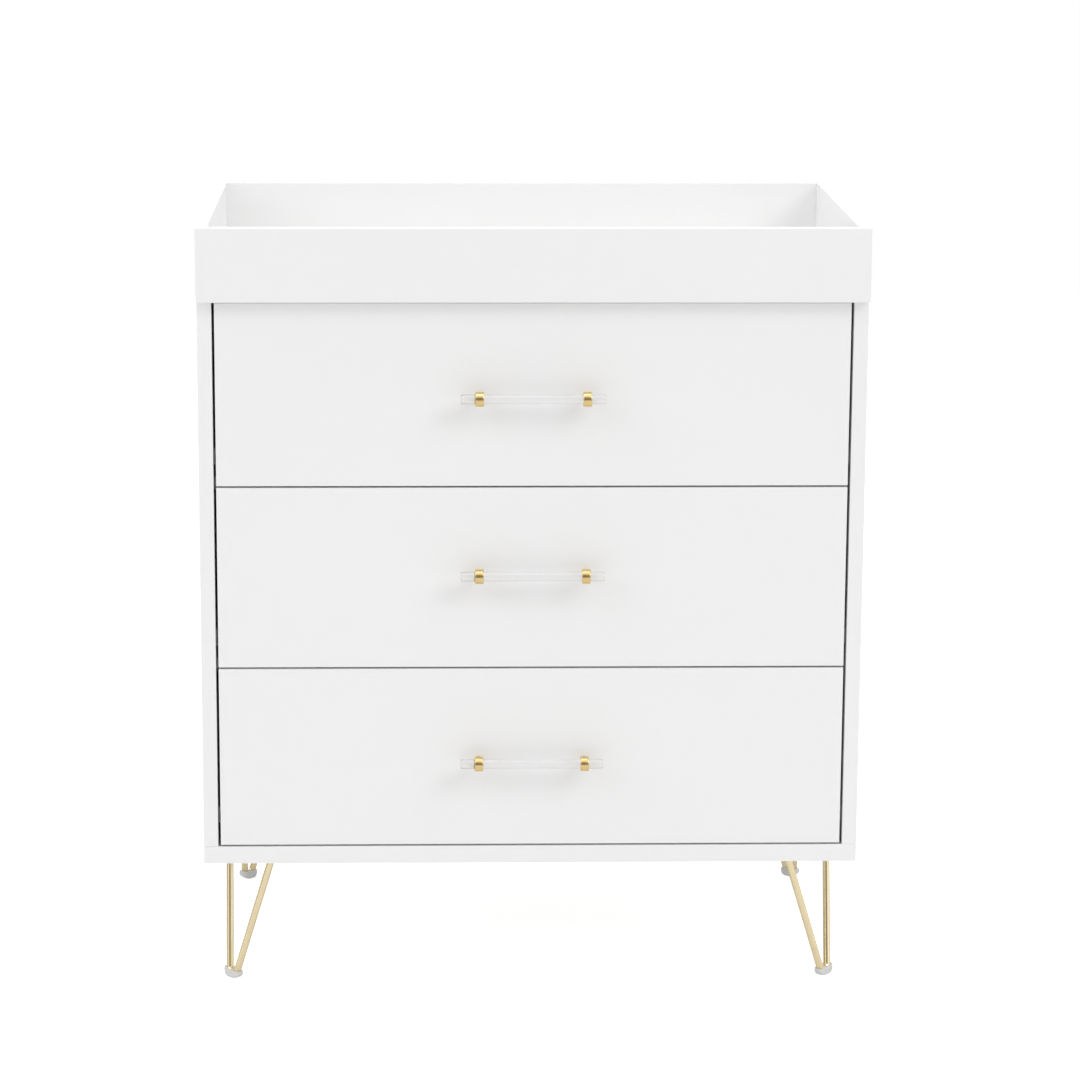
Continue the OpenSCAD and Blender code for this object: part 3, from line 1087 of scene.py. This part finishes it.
class DRESSER_OT_stage(Operator):
    """Add the floor, the lights and the camera"""

    bl_idname = "dresser.stage"
    bl_label = "Stage"

    def execute(self, context):
        own = settings().stage
        self.add_floor(own)
        self.light_world(own)
        for name, place, target in LIGHTS:
            size, watts = getattr(own, f"{name}_size"), getattr(own, f"{name}_power")
            self.add_light(f"{name}_light", place, target, size, watts)
        self.add_camera(own)
        context.scene.view_settings.view_transform = "Standard"
        return {"FINISHED"}

    def add_floor(self, own):
        mesh = bmesh.new()
        bmesh.ops.create_grid(mesh, x_segments=1, y_segments=1, size=6.0)
        data = bpy.data.meshes.new("floor")
        mesh.to_mesh(data)
        mesh.free()
        floor = bpy.data.objects.new("floor", data)
        floor.location.z = -own.floor_drop
        bpy.context.scene.collection.objects.link(floor)
        paper = Shader("floor_paper", own.floor, 0.8, **{"Emission Color": (1, 1, 1, 1)})
        seen = paper.node("ShaderNodeLightPath").outputs["Is Camera Ray"]
        paper.link(paper.spread(seen, 0.0, own.glow), "Emission Strength")
        data.materials.append(paper.material)

    def light_world(self, own):
        """White all round, with two dark sides that only reflections show."""
        world = bpy.data.worlds.new("studio")
        bpy.context.scene.world = world
        world.use_nodes = True
        nodes, links = world.node_tree.nodes, world.node_tree.links

        def node(kind, inputs, **settings):
            made = nodes.new(kind)
            for key, value in settings.items():
                setattr(made, key, value)
            for key, value in inputs.items():
                if isinstance(value, bpy.types.NodeSocket):
                    links.new(value, made.inputs[key])
                else:
                    made.inputs[key].default_value = value
            return made.outputs

        path = nodes.new("ShaderNodeLightPath").outputs
        way = nodes.new("ShaderNodeTexCoord").outputs["Generated"]
        shine = own.shine
        for direction, near, far in FLAGS:
            toward = node("ShaderNodeVectorMath", {0: way, 1: direction}, operation="DOT_PRODUCT")
            shine = node("ShaderNodeMapRange", {
                "Value": toward["Value"], "From Min": far, "From Max": near,
                "To Min": shine, "To Max": own.flag,
            })["Result"]
        through_bar = node("ShaderNodeMapRange", {
            "Value": path["Transmission Depth"], "To Min": 1.0, "To Max": 0.4,
        })["Result"]
        glossy = node("ShaderNodeMath", {
            0: path["Is Glossy Ray"], 1: through_bar,
        }, operation="MULTIPLY")["Value"]
        mix = node("ShaderNodeMix", {0: glossy, 2: own.sky, 3: shine})[0]
        strength = node("ShaderNodeMix", {0: path["Is Camera Ray"], 2: mix, 3: 1.0})[0]
        background = nodes["Background"]
        background.inputs["Color"].default_value = (1, 1, 1, 1)
        links.new(strength, background.inputs["Strength"])

    def add_light(self, name, place, target, size, watts):
        data = bpy.data.lights.new(name, "AREA")
        data.size = size
        data.energy = watts
        light = bpy.data.objects.new(name, data)
        light.location = place
        light.rotation_euler = (Vector(target) - Vector(place)).to_track_quat("-Z", "Y").to_euler()
        bpy.context.scene.collection.objects.link(light)

    def add_camera(self, own):
        """A camera left of the middle, turned, tilted and rolled a little."""
        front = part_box("side_panel_left")[0].y
        forward = Vector((math.sin(own.turn), math.cos(own.turn), 0))
        right = Vector((math.cos(own.turn), -math.sin(own.turn), 0))
        ahead = math.cos(own.tilt) * forward - math.sin(own.tilt) * Z
        up = math.sin(own.tilt) * forward + math.cos(own.tilt) * Z
        rolled_right = math.cos(own.roll) * right + math.sin(own.roll) * up
        rolled_up = math.cos(own.roll) * up - math.sin(own.roll) * right
        axes = Matrix((rolled_right, rolled_up, -ahead)).transposed()
        data = bpy.data.cameras.new("camera")
        data.lens = own.lens
        data.sensor_width = 36.0
        data.shift_x = own.shift
        data.shift_y = -own.shift
        data.clip_end = 100.0
        camera = bpy.data.objects.new("camera", data)
        place = Vector((-own.aside, front - own.distance, own.height))
        camera.matrix_world = Matrix.Translation(place) @ axes.to_4x4()
        bpy.context.scene.collection.objects.link(camera)
        bpy.context.scene.camera = camera


# Add-on


class DRESSER_PT_sidebar(Panel):
    """The dresser's pieces and settings"""

    bl_label = "Changing Dresser"
    bl_space_type = "VIEW_3D"
    bl_region_type = "UI"
    bl_category = "Dresser"

    def draw(self, context):
        for operator in PIECES:
            self.layout.operator(operator.bl_idname)
        own = context.scene.changing_dresser
        for group in (own.boards, own.handles, own.legs, own.runners, own.stage):
            box = self.layout.box()
            for key in group.__annotations__:
                box.prop(group, key)


GROUPS = (
    DresserBoardSettings,
    DresserHandleSettings,
    DresserLegSettings,
    DresserRunnerSettings,
    DresserStageSettings,
    DresserSettings,
)
PIECES = (
    DRESSER_OT_stage,
    DRESSER_OT_case,
    DRESSER_OT_tray,
    DRESSER_OT_back,
    DRESSER_OT_drawers,
    DRESSER_OT_runners,
    DRESSER_OT_handles,
    DRESSER_OT_legs,
    DRESSER_OT_feet,
    DRESSER_OT_fasteners,
)
CLASSES = GROUPS + PIECES + (DRESSER_PT_sidebar,)


def register():
    for cls in CLASSES:
        bpy.utils.register_class(cls)
    bpy.types.Scene.changing_dresser = PointerProperty(type=DresserSettings)


def unregister():
    del bpy.types.Scene.changing_dresser
    for cls in reversed(CLASSES):
        bpy.utils.unregister_class(cls)


def main():
    register()
    bpy.ops.dresser.stage()
    bpy.ops.dresser.case()
    bpy.ops.dresser.tray()
    bpy.ops.dresser.back()
    bpy.ops.dresser.drawers()
    bpy.ops.dresser.runners()
    bpy.ops.dresser.handles()
    bpy.ops.dresser.legs()
    bpy.ops.dresser.feet()
    bpy.ops.dresser.fasteners()


if __name__ == "__main__":
    main()
